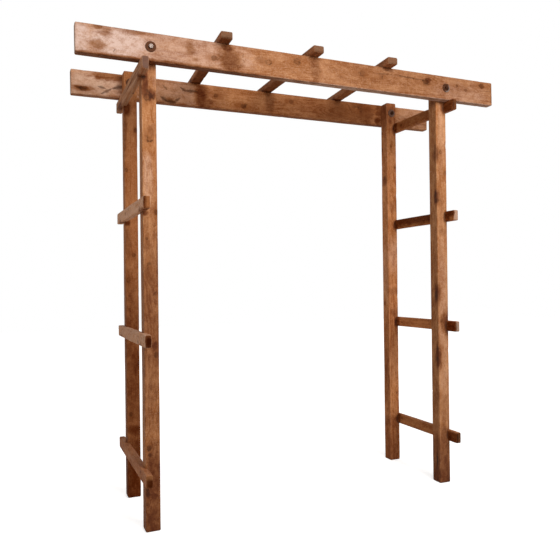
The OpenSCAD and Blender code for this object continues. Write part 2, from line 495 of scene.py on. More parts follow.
KNOT_DEPTH = 1.2  # how deep a branch runs, in half widths of its timber
WORN_EDGE = 3.0
WOOD_COLOURS = (
    "early_wood", "late_wood", "knot_wood", "knot_rim", "end_wood", "pale_wood", "grey_wood", "stain",
)


def timber_material(name, half, wood, settings):
    """A timber's own material. Half is the half size in millimetres."""
    material, n, place = new_material(name)
    fibre = wood_fibre(n, position=place, seed=wood.seed)
    ruffle = fibre.pop("ruffle")
    knots = dict.fromkeys(("core", "rim", "halo", "swell"), 0.0)
    for k in wood.knots:
        knots = knot(
            n,
            position=place,
            centre=on_face(k.face, k.across, k.along, half),
            facing=(*FACES[k.face], 0.0),
            radius=k.radius,
            stretch=k.stretch,
            depth=min(half[:2]) * KNOT_DEPTH,
            opening=k.opening,
            dark=k.dark,
            ruffle=ruffle,
            **knots,
        )
    lines = {"lines": 0.0}
    for line in wood.lines:
        start, end = (on_face(line.face, *point, half) for point in (line.start, line.end))
        given = {"start": start, "end": end, "width": line.width, "strength": line.strength}
        lines = shake_line(n, position=place, ruffle=ruffle, **given, **lines)
    patches = {}
    for kind in ("stains", "pale"):
        made = {"patches": 0.0}
        for i, patch in enumerate(getattr(wood, kind)):
            made = soft_patch(n, position=place, seed=wood.seed + i, **patch._asdict(), **made)
        patches[kind] = made["patches"]
    given = {key: getattr(wood, key) for key in ("pith", "lean", "ring_width", "wave", "seed")}
    rings = growth_rings(n, position=place, swell=knots.pop("swell"), **given)
    wear = edge_wear(n, position=place, half_size=half, width=WORN_EDGE, seed=wood.seed)
    marks = saw_marks(n, position=place, slant=wood.saw[0], spacing=wood.saw[1], seed=wood.seed)
    colours = {key: getattr(settings, key) for key in WOOD_COLOURS}
    if wood.end is not None:
        colours["end_wood"] = tuple(c / t for c, t in zip(srgb(wood.end), wood.tone))
    given = {key: getattr(wood, key) for key in ("figure", "dust", "grey")}
    given.update(tone=wood.tone, stained=patches["stains"], pale=patches["pale"])
    made = stained_timber(n, **colours, **given, **rings, **fibre, **knots, **lines, **marks, **wear)
    return join_shader(material, n, **made)


# ---------------------------------------------------------------- timber meshes

CHECK_ROOM = 0.0026  # bare wood on both sides of a drying check
LEAST_RADIUS = 0.0008
LONG_BAR = 0.5  # half a length from which a bar has more chips
LUMP, FINE_LUMP, KNOT_SWELLING, END_ROUGHNESS = 0.00028, 0.00012, 0.0006, 0.0003
BOW, TWIST, CHECK_DRIFT, OUT_OF_SQUARE = 0.0008, 0.002, 0.0011, 0.012
END_SCALES = (0.82, 0.6, 0.36, 0.15)
FADE = 0.03  # where a check runs out, or where a slanting end begins
BOLT_HOLE = 0.0065
BOLT_ROOM = 0.02
HOUSING_ROOM = 0.05
HOUSING_GAP = 0.0002
TIMBER_SHARP, STEEL_SHARP = 35.0, 28.0  # degrees from which an edge stays sharp


def bar_frame(node, axes, turned=False):
    """A bar's middle, directions and half sizes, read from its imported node."""
    points = np.array([v.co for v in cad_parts[node].data.vertices], float)
    if turned:
        order = points[points[:, 1].argsort()]
        half = len(order) // 2
        grain = Vector(order[:half].mean(0) - order[half:].mean(0)).normalized()
        up = Vector((0.0, 0.0, 1.0))
        axes = (up.cross(grain).normalized(), up, grain)
    spans = [points @ np.array(a) for a in axes]
    middle = sum((a * float((s.max() + s.min()) / 2) for a, s in zip(axes, spans)), Vector())
    place = Matrix(axes).transposed().to_4x4()
    place.translation = middle
    return place, tuple(float(s.max() - s.min()) / 2 for s in spans)


def waves(rng, count, longest):
    """A smooth random function of one number, between about -1 and 1."""
    parts = [
        (rng.uniform(0.5, 1.0) / (i + 1) ** 0.7, rng.uniform(0, TURN), TURN * (i + 1) / longest)
        for i in range(count)
    ]
    total = sum(p[0] for p in parts)
    return lambda t: sum(a * np.sin(f * t + s) for a, s, f in parts) / total


def outline(half, grid, checks):
    """Places round a bar's section, anticlockwise: (corner, next corner, share of the way between them,
    angle, check, side of the check)."""
    places = []
    for k, face in enumerate(FACES):
        wide = 2 * half[(k + 1) % 2]
        way = 1 if face in ("+x", "-y") else -1
        count = max(4, round(wide / grid))
        steps = [(i / count, -1, 0) for i in range(count + 1)]
        for index, check in enumerate(checks):
            if check.face == face:
                at = (way * check.across * MM + wide / 2) / wide
                lip = check.width * MM / 2 / wide
                steps = [s for s in steps if abs(s[0] - at) * wide > CHECK_ROOM or s[0] in (0.0, 1.0)]
                steps += [(at - lip, index, -1), (at, index, 0), (at + lip, index, 1)]
        turn, after = TURN / 4 * k, (k + 1) % 4
        places += [(k, after, s, turn, index, side) for s, index, side in sorted(steps)]
        places += [(after, after, 0.0, turn + TURN / 16 * i, -1, 0) for i in (1, 2, 3)]
    return places


def corner_radii(rng, z, hz, inset, radius):
    """Rounding of the four corners all along a bar, with a few chips and softer tips."""
    radii = np.empty((len(z), 4))
    for c in range(4):
        radii[:, c] = radius * (1 + 0.45 * waves(rng, 9, 1.1)(z))
        for _ in range(rng.randint(1, 3) if hz > LONG_BAR else rng.randint(0, 2)):
            at, size, deep = rng.uniform(-hz, hz), rng.uniform(0.005, 0.016), rng.uniform(0.001, 0.004)
            radii[:, c] += deep * np.exp(-(((z - at) / size) ** 2))
        for tip in (-hz, hz):
            radii[:, c] += rng.uniform(0.0, 0.0025) * np.exp(-np.abs(z - tip) / 0.008)
    return np.maximum(radii - inset[:, None] * 0.6, LEAST_RADIUS)


def skin_lumps(flat, z, half, wood, seed):
    """Small lumps all over, and a swelling over each knot."""
    lumps = np.empty(flat.shape[:2])
    for j, level in enumerate(z):
        for i in range(flat.shape[1]):
            p = Vector((flat[j, i, 0] * 28, flat[j, i, 1] * 28, level * 9)) + seed
            lumps[j, i] = noise.noise(p) * LUMP + noise.noise(p * 3.1) * FINE_LUMP
    for k in wood.knots:
        x, y, along = (v * MM for v in on_face(k.face, k.across, k.along, [h / MM for h in half]))
        away = (flat[..., 0] - x) ** 2 + (flat[..., 1] - y) ** 2 + ((z[:, None] - along) / k.stretch) ** 2
        lumps += KNOT_SWELLING * np.exp(-((np.sqrt(away) / (k.radius * MM)) ** 2))
    return lumps


def end_rings(rng, rim, half, tip, deep, seed):
    """Rings of points from a bar's rim in to the middle of its rough end, and that middle."""
    centre = rim.mean(0)
    centre[:2] += [rng.uniform(-0.15, 0.15) * half[0], rng.uniform(-0.15, 0.15) * half[1]]
    for scale in END_SCALES:
        inner = centre + (rim - centre) * scale
        rough = np.array([noise.noise(Vector(p) * 160 + seed) for p in inner]) * END_ROUGHNESS
        inner[:, 2] -= tip * (np.abs(rough) + deep * 1.2 * max(0.0, scale - 0.2))
        yield inner
    yield centre[None]


def timber_mesh(name, half, wood, settings):
    """A closed bar with softened edges, a slight bow, chips, rough ends and drying checks."""
    rng = random.Random(wood.seed * 7919 + 11)
    hx, hy, hz = half
    places = outline(half, settings.grid, wood.checks)
    count = len(places)
    first, second, share, turn = (np.array([p[i] for p in places]) for i in range(4))
    way = np.stack([np.cos(turn), np.sin(turn)], 1)
    tangent = np.stack([-way[:, 1], way[:, 0]], 1)
    sign = np.array([(1, -1), (1, 1), (-1, 1), (-1, -1)], float)
    end = settings.end_radius
    body = np.linspace(end - hz, hz - end, max(8, round(2 * (hz - end) / settings.grid)) + 1)
    turns = [math.radians(a) for a in (90, 60, 30)]
    nose = [(hz - end + end * math.sin(t), end * (1 - math.cos(t))) for t in turns]
    stations = [(-z, i) for z, i in nose] + [(z, 0.0) for z in body] + nose[::-1]
    z, inset = np.array(stations).T
    radius = corner_radii(rng, z, hz, inset, settings.edge_radius)
    size = np.stack([hx - inset, hy - inset], 1)

    def arc(corner):
        r = radius[:, corner][..., None]
        return sign[corner][None] * (size[:, None, :] - r) + r * way[None]

    flat = (1 - share)[None, :, None] * arc(first) + share[None, :, None] * arc(second)
    sway_x, sway_y, twist = (waves(rng, n, 4.2 * hz) for n in (3, 3, 2))
    seed = Vector((wood.seed * 3.7, wood.seed * 1.3, 0.0))
    flat = flat + way[None] * skin_lumps(flat, z, half, wood, seed)[..., None]
    depth_at_end = np.zeros((2, count))
    for i, (_, _, _, _, index, side) in enumerate(places):
        if index < 0:
            continue
        check = wood.checks[index]
        drift = waves(random.Random(wood.seed * 31 + index), 4, 0.5)
        run = np.clip(np.minimum(z - check.start * MM, check.end * MM - z) / FADE, 0, 1)
        flat[:, i] += tangent[i] * (CHECK_DRIFT * drift(z))[:, None]
        if side == 0:
            deep = check.depth * MM * np.sqrt(run)
            flat[:, i] -= way[i] * np.minimum(deep, min(hx, hy) * 0.6)[:, None]
            depth_at_end[:, i] = deep[0], deep[-1]
    turn = TWIST * twist(z)
    cos, sin = np.cos(turn)[:, None], np.sin(turn)[:, None]
    x = flat[..., 0] * cos - flat[..., 1] * sin + BOW * sway_x(z)[:, None]
    y = flat[..., 0] * sin + flat[..., 1] * cos + BOW * sway_y(z)[:, None]
    level = np.repeat(z[:, None], count, 1)
    # Ends that a hand saw left a little out of square
    for tip in (-1, 1):
        slope = [rng.uniform(-OUT_OF_SQUARE, OUT_OF_SQUARE) for _ in range(2)]
        tilt = slope[0] * x + slope[1] * y - (abs(slope[0]) * hx + abs(slope[1]) * hy)
        level = level + tip * tilt * np.clip(1 - (hz - tip * level) / FADE, 0, 1)
    skin = np.stack([x, y, level], 2)
    points, faces = [skin.reshape(-1, 3)], []

    def band(before, after, flip=False):
        """Faces between two rings of points, which start at these two points."""
        for i in range(count):
            k = (i + 1) % count
            face = (before + i, before + k, after + k, after + i)
            faces.append(face[::-1] if flip else face)

    for j in range(len(z) - 1):
        band(j * count, (j + 1) * count)
    base = len(z) * count
    for tip, ring in ((-1, 0), (1, len(z) - 1)):
        before = ring * count
        for inner in end_rings(rng, skin[ring], half, tip, depth_at_end[max(tip, 0)], seed):
            points.append(inner)
            if len(inner) == count:
                band(before, base, tip < 0)
                before = base
            else:
                fan = [(before + i, before + (i + 1) % count, base) for i in range(count)]
                faces += [tri[::-1] for tri in fan] if tip < 0 else fan
            base += len(inner)
    return solid(name, np.concatenate(points).tolist(), faces)


def solid(name, points, faces):
    mesh = bpy.data.meshes.new(name)
    mesh.from_pydata(points, [], faces)
    mesh.validate()
    return mesh


def linked(name, data):
    obj = bpy.data.objects.new(name, data)
    bpy.context.scene.collection.objects.link(obj)
    return obj


def cut(obj, tools):
    """Takes the tools' shapes out of a piece and removes the tools."""
    for tool in tools:
        modifier = obj.modifiers.new("cut", "BOOLEAN")
        modifier.operation = "DIFFERENCE"
        modifier.solver = "EXACT"
        modifier.object = tool
    bpy.context.view_layer.update()
    shaped = bpy.data.meshes.new_from_object(obj.evaluated_get(bpy.context.evaluated_depsgraph_get()))
    obj.modifiers.clear()
    old, obj.data = obj.data, shaped
    for mesh in (old, *(tool.data for tool in tools)):
        bpy.data.meshes.remove(mesh)


def box_tool(low, high):
    """A box that cuts a housing."""
    corners = [(x, y, z) for x in (low[0], high[0]) for y in (low[1], high[1]) for z in (low[2], high[2])]
    faces = [(0, 1, 3, 2), (4, 6, 7, 5), (0, 4, 5, 1), (2, 3, 7, 6), (0, 2, 6, 4), (1, 5, 7, 3)]
    return linked("housing_tool", solid("housing_tool", corners, faces))


def drill_tool(centre, radius, low, high, sides=40):
    """A rod along Y that drills a bolt hole."""
    ring = [(math.cos(TURN * i / sides), math.sin(TURN * i / sides)) for i in range(sides)]
    points = [(centre[0] + radius * c, y, centre[2] + radius * s) for y in (low, high) for c, s in ring]
    faces = [(i, i + sides, (i + 1) % sides + sides, (i + 1) % sides) for i in range(sides)]
    faces += [tuple(range(sides)), tuple(range(2 * sides - 1, sides - 1, -1))]
    return linked("drill_tool", solid("drill_tool", points, faces))


def bolt_drill(corner):
    """The hole for one bolt, a little wider than the bolt, right through its beam and post."""
    low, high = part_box("bolt_" + corner)
    return drill_tool((low + high) / 2, BOLT_HOLE, low.y - BOLT_ROOM, high.y + BOLT_ROOM)


def housings(side):
    """Boxes that cut the four side rungs' housings, on both of a side's posts."""
    tools = []
    for n in (1, 2, 3, 4):
        low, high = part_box(f"side_rung_{side}_{n}")
        left, right = (HOUSING_ROOM, 0.0) if side == "left" else (0.0, HOUSING_ROOM)
        near = (low.x - left, low.y, low.z - HOUSING_GAP)
        tools.append(box_tool(near, (high.x + right, high.y, high.z + HOUSING_GAP)))
    return tools


def finish_piece(obj, node, material, sharp):
    """Gives a piece its material and smooth skin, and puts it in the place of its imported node."""
    obj.data.materials.clear()
    obj.data.materials.append(material)
    obj.data.shade_smooth()
    obj.data.set_sharp_from_angle(angle=math.radians(sharp))
    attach(obj, "root")
    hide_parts(node)


def make_timber(context, node, axes, wood, turned=False, tools=()):
    """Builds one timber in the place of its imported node. The tools cut it, in the frame's own coordinates."""
    settings = context.scene.arch_timber
    place, half = bar_frame(node, axes, turned)
    obj = linked(node + "_wood", timber_mesh(node, half, wood, settings))
    obj.matrix_world = place
    if tools:
        cut(obj, tools)
    material = timber_material(node + "_timber", tuple(h / MM for h in half), wood, settings)
    finish_piece(obj, node, material, TIMBER_SHARP)


POST_AXES = (Vector((1, 0, 0)), Vector((0, 1, 0)), Vector((0, 0, 1)))
BEAM_AXES = (Vector((0, 1, 0)), Vector((0, 0, 1)), Vector((1, 0, 0)))
RUNG_AXES = (Vector((1, 0, 0)), Vector((0, 0, 1)), Vector((0, -1, 0)))


# ---------------------------------------------------------------- each timber's own wood

# Half sizes in millimetres, and where a patch on a front face is centred
POST_HALF = (31.5, 31.5, 1050.0)
BEAM_HALF = (22.0, 60.0, 1060.0)
SIDE_HALF = (14.0, 26.5, 360.0)
TOP_HALF = (26.0, 16.5, 360.0)
POST_FRONT = -31
BEAM_FRONT = -22
DEEP = 40  # how far in from a face a patch reaches
RUNG_HEIGHTS = (903.5, 333.3, -236.8, -807.0)  # of the side rungs, from the middle of a post


def scattered(seed, faces, half, count, small=4.0, large=10.0):
    """Knots here and there on the faces that have none of their own."""
    rng = random.Random(seed)
    found = []
    for face in faces:
        wide = half[1] if FACES[face][0] else half[0]
        for _ in range(count):
            radius = rng.uniform(small, large)
            across = rng.uniform(-1.0, 1.0) * (wide - 1.3 * radius)
            along = rng.uniform(-0.95, 0.95) * half[2]
            found.append(Knot(face, across, along, radius, rng.uniform(1.0, 1.6), rng.uniform(0.5, 1.0)))
    return tuple(found)


def own_wood(face, patch, knots, stains, lines=(), pale=(), **more):
    """A Wood whose plain rows of numbers lie on its front face. A knot's row is (across, along, radius,
    stretch, dark, opening), a line's (across, along, across, along, width, strength), and a patch's
    (across, along, reach across, reach along, strength, ragged)."""

    def rows(kind, given):
        return tuple(row if isinstance(row, (Knot, Line, Patch)) else kind(*row) for row in given)

    return Wood(
        knots=rows(lambda *row: Knot(face, *row), knots),
        lines=rows(lambda a, b, c, d, *look: Line(face, (a, b), (c, d), *look), lines),
        stains=rows(patch, stains),
        pale=rows(patch, pale),
        **more,
    )


def post_wood(**given):
    """A post's Wood. Along counts up from its middle, 1050 mm above the ground."""

    def patch(across, along, wide, high, *look):
        return Patch((across, POST_FRONT, along), (wide, DEEP, high), *look)

    return own_wood("-y", patch, **given)


def beam_wood(**given):
    """A beam's Wood. Across counts up from its middle, and along counts to the right."""

    def patch(across, along, high, wide, *look):
        return Patch((BEAM_FRONT, across, along), (DEEP, high, wide), *look)

    return own_wood("-x", patch, **given)


def damp_foot(strength, reach):
    return Patch((0, 0, -1080), (90, 90, reach), strength, 0.5)


def all_round(along, reach, strength, ragged):
    """A stain right round a post."""
    return Patch((0, 0, along), (90, 90, reach), strength, ragged)


def rung_shade(across, below, size, strengths):
    """Dark, damp wood round the four housings, at a post's front corner, from the top rung down."""
    return tuple(
        Patch((across, -POST_HALF[1], z - below), (18, DEEP, size), strength, 0.8)
        for z, strength in zip(RUNG_HEIGHTS, strengths)
        if strength
    )


def joint_lines(strength):
    """The dark line where each side rung meets the front face of a right post."""
    return tuple(Line("-y", (16, z - 24), (16, z + 22), 11.0, strength) for z in RUNG_HEIGHTS)


POST_WOODS = {
    "front_left": post_wood(
        seed=3, pith=(12, 46, 0), lean=(0.006, -0.01, 0), ring_width=5, wave=26, dust=0.035,
        knots=(
            (-9, 790, 14, 1.1, 0.3), (2, 617, 14, 1.1, 0.5, (-0.5, 0, -0.5)), (25, 304, 8, 1.5, 1),
            (-16, 191, 5, 1.1, 0.6), (-6, 74, 11, 1.3, 0.2, (-0.3, 0, 0.3)), (18, -303, 8, 1.4, 0.8),
            (-15, -696, 10, 1.1, 1), (-13, -724, 7, 1, 0.9), (-24, -868, 6, 1.5, 1), (-21, -889, 7, 1.4, 1),
            (-25, -931, 5, 1.3, 0.6), *scattered(31, ("+x", "-x", "+y"), POST_HALF, 4),
        ),
        lines=(
            (-34, 873, -13, 876, 18, 1), (-16, 824, 6, 808, 15, 0.6), (2, 810, 20, 784, 17, 0.8),
            (-12, 606, -2, 600, 9, 0.9), (-2, 600, 15, 611, 7, 0.8), (4, -54, 25, -31, 4.5, 0.6),
            (-3, -390, -6, -460, 5, 0.3),
        ),
        stains=(
            damp_foot(0.95, 330), Patch((-40, 0, 0), (11, 90, 2000), 0.66, 0.5),
            all_round(-220, 640, 0.68, 1.2), (-18, 840, 22, 80, 1, 0.9),
            (-18, 884, 26, 46, 1, 0.9), (4, 850, 36, 60, 0.3, 1.2), (0, 930, 50, 60, 0.6, 1),
            (12, 804, 21, 34, 0.95, 1.2), (8, 652, 20, 30, 0.35), (-18, 625, 16, 34, 0.26, 1),
            (16, 270, 22, 170, 0.3, 1), (0, 275, 40, 60, 0.3, 1.4), (14, -266, 22, 32, 0.95, 0.9),
            (31, 45, 13, 260, 0.75, 1), (4, -78, 22, 34, 0.4), (-14, -700, 18, 60, 0.5),
            (8, -810, 50, 180, 0.95, 0.9), (-18, -890, 22, 50, 0.95), (31, -330, 9, 120, 0.4, 1),
            *rung_shade(-22, 35, 15, (1, 1, 0, 0)),
        ),
        pale=(
            (-10, 440, 24, 130, 0.3, 1.4), (-20, -744, 12, 28, 0.35), (22, 858, 10, 30, 0.4, 1),
        ),
        checks=(
            Check("-x", 4, -1060, -830, 1.4, 7), Check("+x", -6, 300, 760, 1.2, 5),
            Check("+y", 8, -200, 410, 1.4, 6),
        ),
    ),
    "back_left": post_wood(
        seed=5, pith=(-50, -10, 0), lean=(0.008, 0.004, 0), ring_width=5.5, wave=18, figure=0.4,
        tone=(0.78, 0.67, 0.58),
        knots=(
            (22, 761, 8, 1.4, 1), (-24, 560, 7, 1.4, 0.5), (8, 143, 8, 1.2, 0.5), (-20, 20, 9, 1.3, 0.15),
            (-14, -640, 8, 1.3, 0.8), *scattered(51, ("+x", "-x", "+y"), POST_HALF, 4),
        ),
        stains=(
            damp_foot(1, 600), all_round(-420, 620, 0.72, 0.8), (-31, 760, 15, 160, 0.6, 1),
            (-20, 862, 26, 46, 1, 0.5), (-22, 200, 18, 90, 0.5, 1), (12, -385, 34, 110, 0.92, 1),
            (0, -720, 50, 50, 0.9, 1), *rung_shade(-22, 35, 16, (0, 1, 0, 0.7)),
        ),
        checks=(
            Check("-x", -8, 120, 620, 1.3, 6), Check("+y", 3, -1060, -700, 1.4, 7),
        ),
    ),
    "front_right": post_wood(
        seed=8, pith=(44, 20, 0), lean=(-0.006, 0.008, 0), ring_width=5, wave=20, figure=0.45, dust=0.045,
        knots=(
            Knot("-x", -20, 450, 8, 2), Knot("-x", -24, 415, 7, 1.6), Knot("-x", -16, -75, 10, 2.2),
            Knot("-x", -22, -352, 7, 1.6, 1), Knot("-x", -20, -406, 8, 1.4, 1),
            Knot("-x", -8, -930, 6, 4, 1), (22, 560, 8, 1.3, 0.45), (-5, 668, 9, 1.3, 0.4),
            (-12, -210, 6, 1.2, 0.5), *scattered(81, ("+x", "+y"), POST_HALF, 5),
        ),
        lines=(
            Line("-x", (-8, -900), (-10, -985), 6, 1), *joint_lines(0.8),
        ),
        stains=(
            damp_foot(1, 290), Patch((-40, 0, -600), (11, 90, 2200), 0.8, 0.5),
            Patch((-31, -22, -70), (20, 30, 70), 1, 1.2), Patch((-31, -22, -400), (20, 34, 84), 1, 1.2),
            Patch((-31, -22, 432), (20, 28, 50), 0.95, 1.2), Patch((-31, -26, 660), (20, 26, 54), 0.8, 1.2),
            Patch((0, 0, 926), (40, 40, 20), 0.9, 0.6), Patch((-40, -8, -610), (14, 60, 110), 0.8, 1),
            (0, 10, 60, 900, 0.12, 1.4), (4, 330, 40, 110, 0.25, 1), (4, 252, 32, 26, 0.45, 1),
            (6, -216, 34, 72, 0.6, 1), (19, -226, 24, 66, 1, 1), (20, -803, 18, 36, 1, 0.9),
            Patch((-40, 0, -760), (14, 60, 120), 0.6, 1), (6, -665, 50, 90, 0.42, 1),
            Patch((-31, 0, 960), (12, 60, 80), 0.35, 1.2), all_round(-880, 160, 0.8, 0.8),
            (31, -180, 15, 50, 0.7, 1), (31, -750, 15, 40, 0.7, 1),
            *rung_shade(17, 4, 38, (0.9, 0.8, 0.8, 0)),
        ),
        pale=(
            (0, 780, 24, 230, 0.15, 1), (0, -200, 30, 560, 0.25, 1.2),
        ),
        checks=(
            Check("-x", -12, -1060, -760, 1.4, 7), Check("+x", 8, 200, 720, 1.2, 5),
        ),
    ),
    "back_right": post_wood(
        seed=13, pith=(20, 48, 0), lean=(0.004, -0.006, 0), ring_width=5, wave=20, figure=0.45,
        tone=(1.22, 1.1, 1), dust=0.03,
        knots=(
            Knot("-x", 18, 781, 8, 1.5, 1), Knot("-x", 20, 880, 7, 1.3, 0.7),
            Knot("-x", -5, 611, 8, 1.5, 0.9), Knot("-x", 12, -129, 9, 1.5, 0.8),
            *scattered(131, ("+x", "+y"), POST_HALF, 4), *scattered(132, ("-y",), POST_HALF, 3, 4, 7),
        ),
        lines=(
            Line("-x", (-27, 560), (-24, 200), 5, 0.5), Line("-x", (-24, 200), (-27, -110), 5, 0.45),
            Line("-x", (28, -490), (-6, -560), 5, 0.5), *joint_lines(1),
        ),
        stains=(
            damp_foot(0.7, 360), all_round(1000, 120, 0.85, 1),
            all_round(-400, 300, 0.3, 1), Patch((-40, 0, -610), (14, 60, 480), 0.75, 1),
            Patch((-31, 0, 590), (14, 34, 34), 0.7, 1), (8, 580, 50, 200, 0.14, 1),
            (8, 440, 40, 50, 0.35, 1), (8, -60, 40, 26, 0.35, 1), (8, -190, 40, 36, 0.5, 1),
            all_round(-830, 60, 0.7, 1), *rung_shade(17, 4, 38, (1, 1, 1, 1)),
        ),
        pale=(
            (8, 150, 50, 110, 0.3, 1), (8, -440, 50, 180, 0.16, 1),
            Patch((-31, 10, 20), (40, 40, 260), 0.2, 1),
        ),
        checks=(
            Check("-y", 12, -1060, -800, 1.2, 5), Check("+x", -5, -100, 380, 1.3, 6),
        ),
    ),
}

BEAM_WOODS = {
    "front": beam_wood(
        seed=21, pith=(52, 12, 0), lean=(0, 0.012, 0), ring_width=5.5, wave=34, figure=0.4,
        tone=(0.82, 0.83, 0.9), end="b89882",
        knots=(
            (-11, -482, 10, 1.2, 0.7), (25, -84, 13, 1.2, 0.45), (13, 262, 15, 1, 0.5, (0, -0.4, -0.5)),
            (8, 367, 11, 1, 0.3, (0, 0, 0.7)), (16, 634, 14, 1.2, 1), (18, 828, 6, 1.3, 0.7),
            (2, 884, 7, 1.3, 0.6), (36, 988, 13, 1.1, 0.9), (4, -225, 12, 1.3, 0.15),
            *scattered(211, ("+x",), BEAM_HALF, 8, 5, 13), *scattered(212, ("+y", "-y"), BEAM_HALF, 3),
        ),
        lines=(
            (24, 318, 30, 450, 4.5, 0.6), (30, 450, 22, 620, 5, 0.75), (-45, -912, -27, -900, 5, 0.6),
            (-20, -470, 10, -440, 5, 0.4), (26, -345, 4, -352, 5, 0.4), (4, -352, -14, -340, 5, 0.35),
        ),
        stains=(
            (56, -968, 14, 24, 0.55), (36, -944, 18, 30, 0.34), (-22, -970, 22, 38, 0.4),
            (52, -830, 16, 70, 0.34), (16, -589, 34, 24, 0.36), (-28, -566, 12, 16, 0.3),
            (46, -424, 34, 30, 0.85, 1.2), (-14, -410, 62, 62, 0.72, 1.2), (12, -267, 22, 26, 0.25),
            (0, 10, 80, 34, 0.5, 1.2), (54, 421, 24, 32, 0.5), (0, 560, 130, 620, 0.25, 1.4),
            (10, 634, 26, 30, 0.4), (-16, 463, 12, 26, 0.2), (0, 1058, 90, 14, 0.35),
            Patch((0, -62, -700), (60, 14, 560), 0.75, 0.8), (58, 400, 20, 34, 0.8, 1),
            (24, 648, 22, 24, 0.85, 1.8),
        ),
        pale=(
            (0, -880, 80, 150, 1, 1.2), (0, -1045, 80, 70, 0.9, 1.2), (0, -620, 130, 330, 0.32, 1.4),
            (-12, -330, 30, 40, 0.3, 1.4), (-20, 850, 60, 200, 0.3, 1.4),
            Patch((0, -62, 560), (60, 6, 900), 0.9, 0.6),
        ),
        checks=(
            Check("-x", 26, 330, 630, 1, 3), Check("+x", -10, -1070, -760, 1.4, 7),
            Check("+x", 22, 240, 700, 1.4, 6), Check("+y", 3, -520, -60, 1.2, 5),
            Check("-x", 14, 980, 1070, 1.2, 5),
        ),
    ),
    "back": beam_wood(
        seed=34, pith=(48, -22, 0), lean=(0, 0.02, 0), ring_width=6, wave=38,
        tone=(0.88, 0.8, 0.74), end="9e7452",
        knots=(
            (-30, -988.5, 12, 1.4, 0.2), (-34, -156.5, 12, 1.3, 0.9), (6, -313.5, 9, 1.3, 0.6),
            (20, 126.5, 10, 1.2, 0.6), (14, 546.5, 30, 1.3, 0, (0, 0.6, 0.3)), (-10, 886.5, 8, 1.2, 0.6),
            *scattered(341, ("+x",), BEAM_HALF, 8, 5, 13), *scattered(342, ("+y", "-y"), BEAM_HALF, 3),
        ),
        lines=(
            (-48, -903.5, -16, -847.5, 12, 0.8), (-12, -918.5, -20, -881.5, 11, 0.8),
            (-26, -1023.5, -32, -975.5, 13, 0.8), (-20, -859.5, 8, -773.5, 17, 1),
            (-28, -609.5, -50, -575.5, 18, 0.9), (-50, -583.5, -54, -525.5, 18, 0.9),
            (-50, -539.5, -24, -501.5, 12, 0.9), (32, -597.5, 8, -573.5, 9, 0.7),
            (30, -503.5, 8, -473.5, 13, 0.9), (14, -483.5, 18, -413.5, 15, 0.9),
            (-20, -133.5, -44, -163.5, 9, 0.6), (50, 483.5, -4, 516.5, 7, 0.5),
        ),
        stains=(
            (44, -863.5, 28, 110, 0.5), (36, -909.5, 22, 30, 0.5), (-30, -998.5, 14, 60, 0.6, 2.4),
            (-44, -559.5, 16, 36, 0.5), (0, -391.5, 90, 42, 0.92, 1.2), (-40, -358.5, 40, 36, 0.7, 1.2),
            (0, -1.5, 90, 36, 0.6, 1.2), (0, 603.5, 100, 80, 0.68, 1.4), (0, -298.5, 90, 60, 0.3, 1.4),
            (0, 366.5, 130, 420, 0.42, 1), (20, 698.5, 50, 30, 0.7, 1.6), (-34, 692.5, 30, 34, 1, 1.6),
            (50, 526.5, 14, 40, 0.6, 1), Patch((0, -62, -13.5), (60, 12, 1500), 0.25, 0.8),
        ),
        pale=(
            (0, -943.5, 90, 230, 0.85, 1.4), (0, -533.5, 90, 200, 0.35, 1.4), (0, 936.5, 90, 150, 0.3, 1.4),
        ),
        checks=(
            Check("-x", -30, 746.5, 1056.5, 1.3, 6), Check("+x", 5, -653.5, -133.5, 1.4, 6),
            Check("+x", -28, 486.5, 1056.5, 1.3, 6),
        ),
    ),
}

# Weathering, saw marks, tone, end colour and the front end's stain of each side rung, from the top one down
SIDE_RUNG_LOOKS = {
    "left": (
        (0.75, (18.0, 210.0), (0.9, 0.82, 0.76), "70554a", ()),
        (1.0, (1.3, 11.0), (1.22, 1.2, 1.2), "96603a", (Patch((-15, 4, 362), (14, 60, 14), 1.0, 0.8),)),
        (1.0, (0.8, 13.0), (1.04, 1.0, 0.98), "5e321a", (Patch((1, -2, 362), (17, 29, 14), 1.0, 0.8),)),
        (0.35, (6.0, 60.0), (0.72, 0.58, 0.5), "865836", (Patch((1, -11, 362), (22, 25, 14), 1.0, 0.8),)),
    ),
    "right": (
        (0.1, (1.3, 11.0), (0.9, 0.72, 0.52), "5c3822", (Patch((-14, 0, 310), (12, 60, 70), 0.8, 0.9),)),
        (0.0, (1.3, 11.0), (0.84, 0.66, 0.48), "bd9880", (Patch((-14, 0, 310), (12, 60, 70), 0.2, 0.9),)),
        (0.1, (1.3, 11.0), (1.08, 0.88, 0.7), "a08674", (Patch((-14, 0, 310), (12, 60, 70), 1.0, 0.9),)),
        (0.1, (1.3, 11.0), (0.84, 0.7, 0.56), "5a3c28", (Patch((-14, 0, 310), (12, 60, 70), 0.85, 0.9),)),
    ),
}
